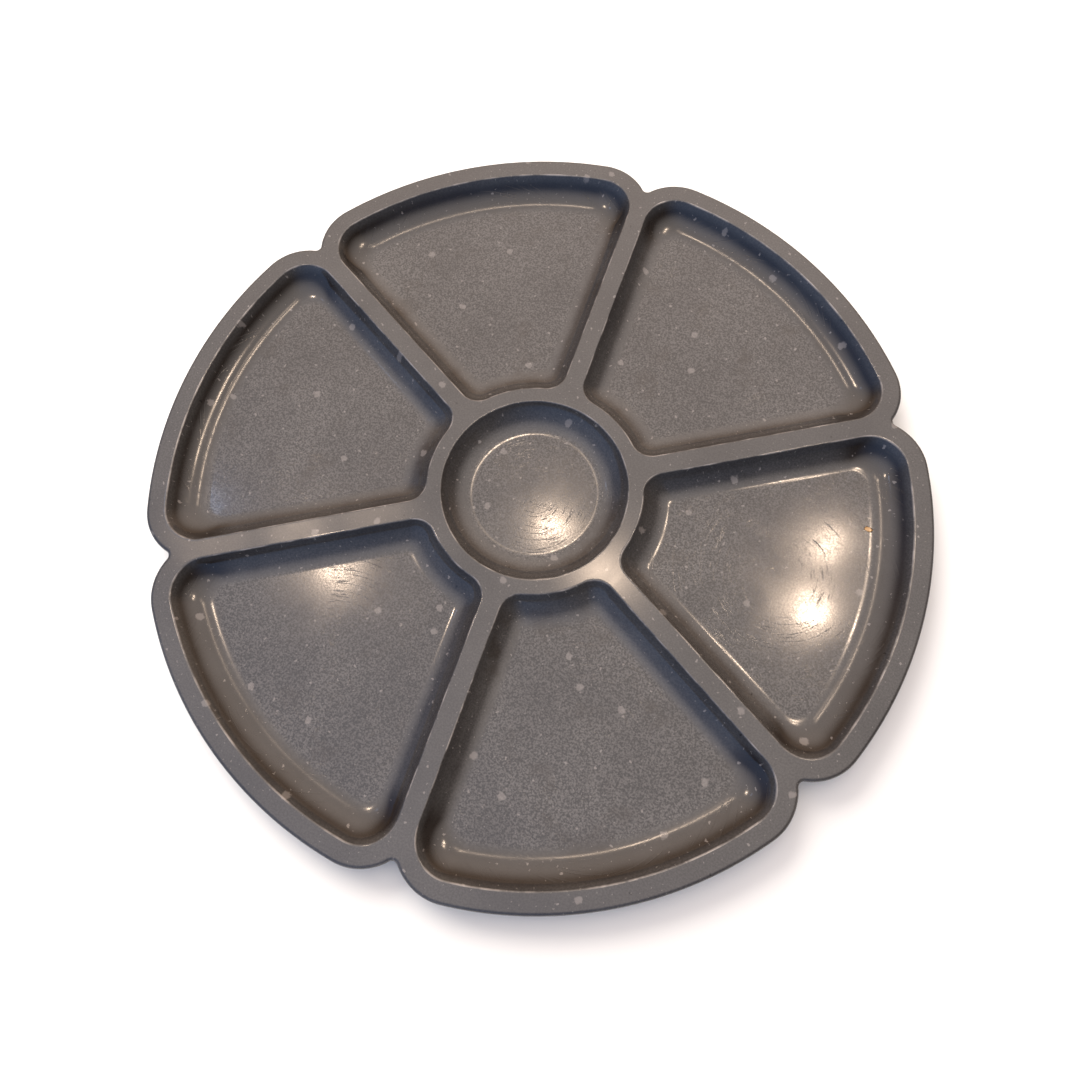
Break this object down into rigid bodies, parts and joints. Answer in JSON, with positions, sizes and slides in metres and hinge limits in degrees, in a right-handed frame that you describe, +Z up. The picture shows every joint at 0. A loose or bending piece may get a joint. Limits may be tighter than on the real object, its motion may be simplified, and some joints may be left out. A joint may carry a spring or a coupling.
{
  "type": "mixing palette",
  "caption": "Shallow round palette with a scalloped edge, fan-shaped wells round a centre well, and flat ribs between them, for mixing paint.",
  "frame": {"origin": "on the table under the centre of the palette", "axes": "+Z up, away from the table; +X through the middle of the first fan well"},
  "size_m": [0.18, 0.1786, 0.0063],
  "materials": {
    "moulded_plastic": "satin, fine grained in the wells"
  },
  "bodies": {
    "root": {"outer_rim": "moulded_plastic", "hub_ring": "moulded_plastic", "rib_1": "moulded_plastic", "rib_2": "moulded_plastic", "rib_3": "moulded_plastic", "rib_4": "moulded_plastic", "rib_5": "moulded_plastic", "rib_6": "moulded_plastic", "fan_well_1": "moulded_plastic", "fan_well_2": "moulded_plastic", "fan_well_3": "moulded_plastic", "fan_well_4": "moulded_plastic", "fan_well_5": "moulded_plastic", "fan_well_6": "moulded_plastic", "centre_well": "moulded_plastic"}
  },
  "joints": []
}
